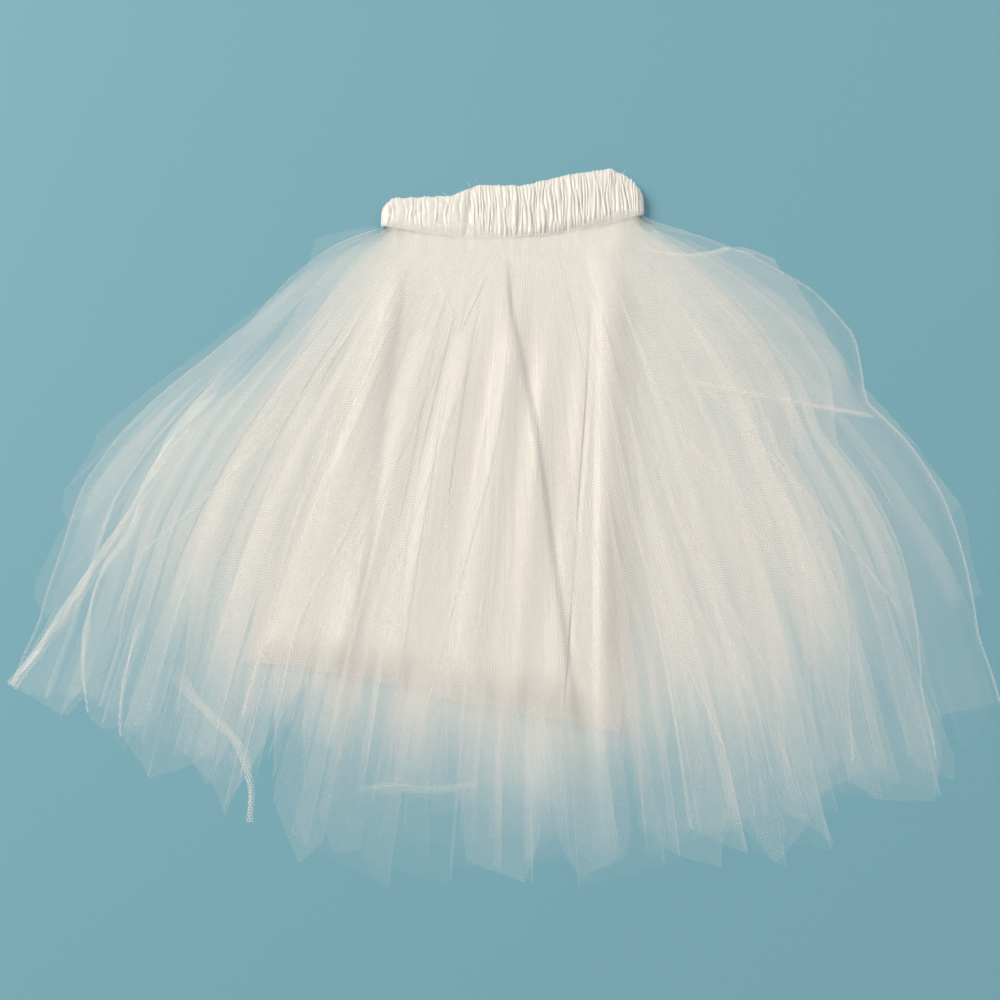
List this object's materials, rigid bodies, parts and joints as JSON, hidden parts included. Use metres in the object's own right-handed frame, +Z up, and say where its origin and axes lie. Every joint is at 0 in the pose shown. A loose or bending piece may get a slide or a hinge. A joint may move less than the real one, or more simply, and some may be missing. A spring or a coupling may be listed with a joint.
{
  "type": "ballet tutu",
  "caption": "Long romantic ballet tutu laid flat: ruched elastic waistband, gathered layers of sheer tulle with jagged hems, and a shorter satin lining.",
  "frame": {"origin": "centre of the bounding box in plan, on the surface that the tutu lies on", "axes": "+X across the skirt, towards the wearer's left; +Y from the hem towards the waist; +Z up, out of the surface"},
  "size_m": [0.7606, 0.5808, 0.0446],
  "materials": {
    "tulle": "sheer white nylon net, hexagonal mesh, soft sheen",
    "lining_satin": "ivory white satin, smooth, soft gloss",
    "waistband_satin": "ivory white satin, ruched over elastic, glossy ribs"
  },
  "bodies": {
    "root": {"waistband": "waistband_satin", "tulle_outer": "tulle", "tulle_middle": "tulle", "tulle_inner": "tulle", "lining": "lining_satin"}
  },
  "joints": []
}
